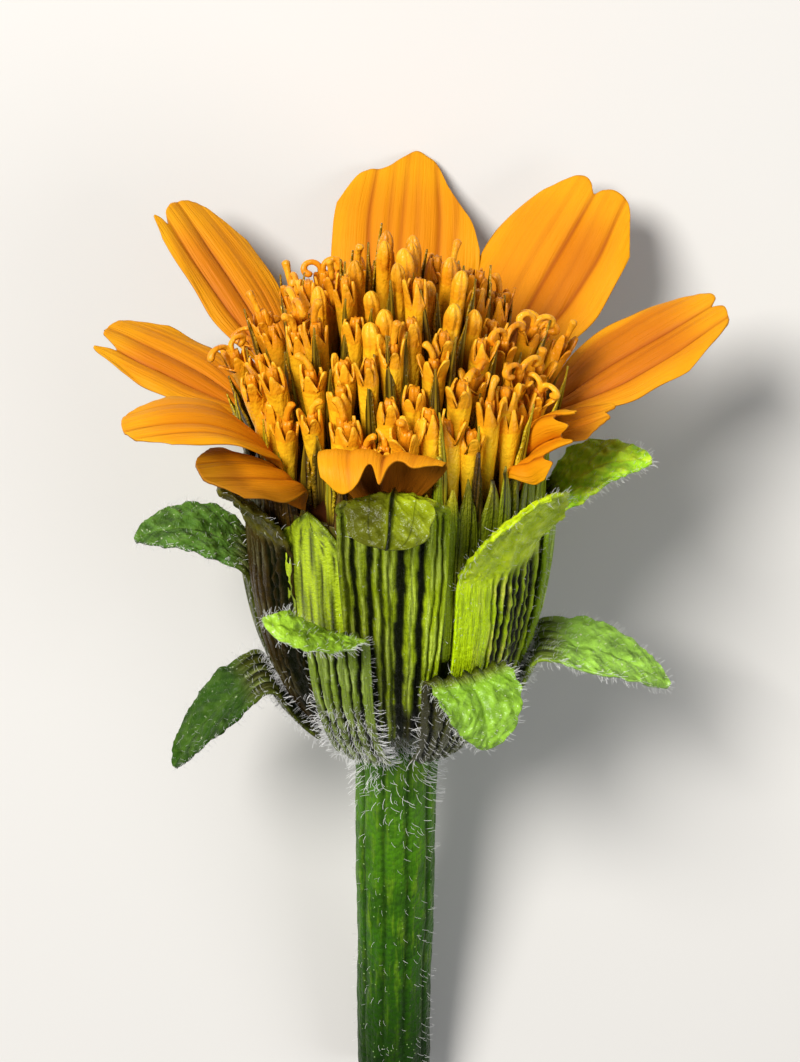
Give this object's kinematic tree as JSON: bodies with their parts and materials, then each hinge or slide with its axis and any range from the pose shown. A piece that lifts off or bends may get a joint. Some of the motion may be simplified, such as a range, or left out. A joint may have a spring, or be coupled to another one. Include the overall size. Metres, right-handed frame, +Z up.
{
  "type": "sunflowerweed",
  "caption": "Cut orange daisy flower lying on its side: ray petals round a tall disc of tube florets, in a cup of ribbed leafy bracts on a length of stem.",
  "frame": {"origin": "middle of the flower's bounding box in plan, on the surface it lies on", "axes": "+Z up; +Y from the cut end of the stem towards the head; +X to the right, seen from above with the head ahead"},
  "size_m": [0.0298, 0.0508, 0.0235],
  "materials": {
    "ray": "satin orange-yellow petals with soft grooves",
    "disc": "satin gold florets with olive scales between them",
    "bract": "hairy yellow-green leaf with ribs",
    "cup": "yellow-green flesh under the bracts",
    "stem": "ribbed green stem with white hairs"
  },
  "bodies": {
    "root": {"stem": "stem", "receptacle": "cup", "disc_centre": "disc", "disc_middle": "disc", "disc_margin": "disc", "ray_back": "ray", "ray_back_right": "ray", "ray_right": "ray", "ray_right_under": "ray", "ray_front_right": "ray", "ray_front": "ray", "ray_front_left": "ray", "ray_left_low": "ray", "ray_left": "ray", "ray_back_left": "ray", "upper_bract_front": "bract", "upper_bract_front_right": "bract", "upper_bract_right": "bract", "upper_bract_back_right": "bract", "upper_bract_back": "bract", "upper_bract_back_left": "bract", "upper_bract_left": "bract", "upper_bract_front_left": "bract", "lower_bract_front": "bract", "lower_bract_right": "bract", "lower_bract_back_right": "bract", "lower_bract_back_left": "bract", "lower_bract_left": "bract", "lower_bract_front_left": "bract"}
  },
  "joints": []
}
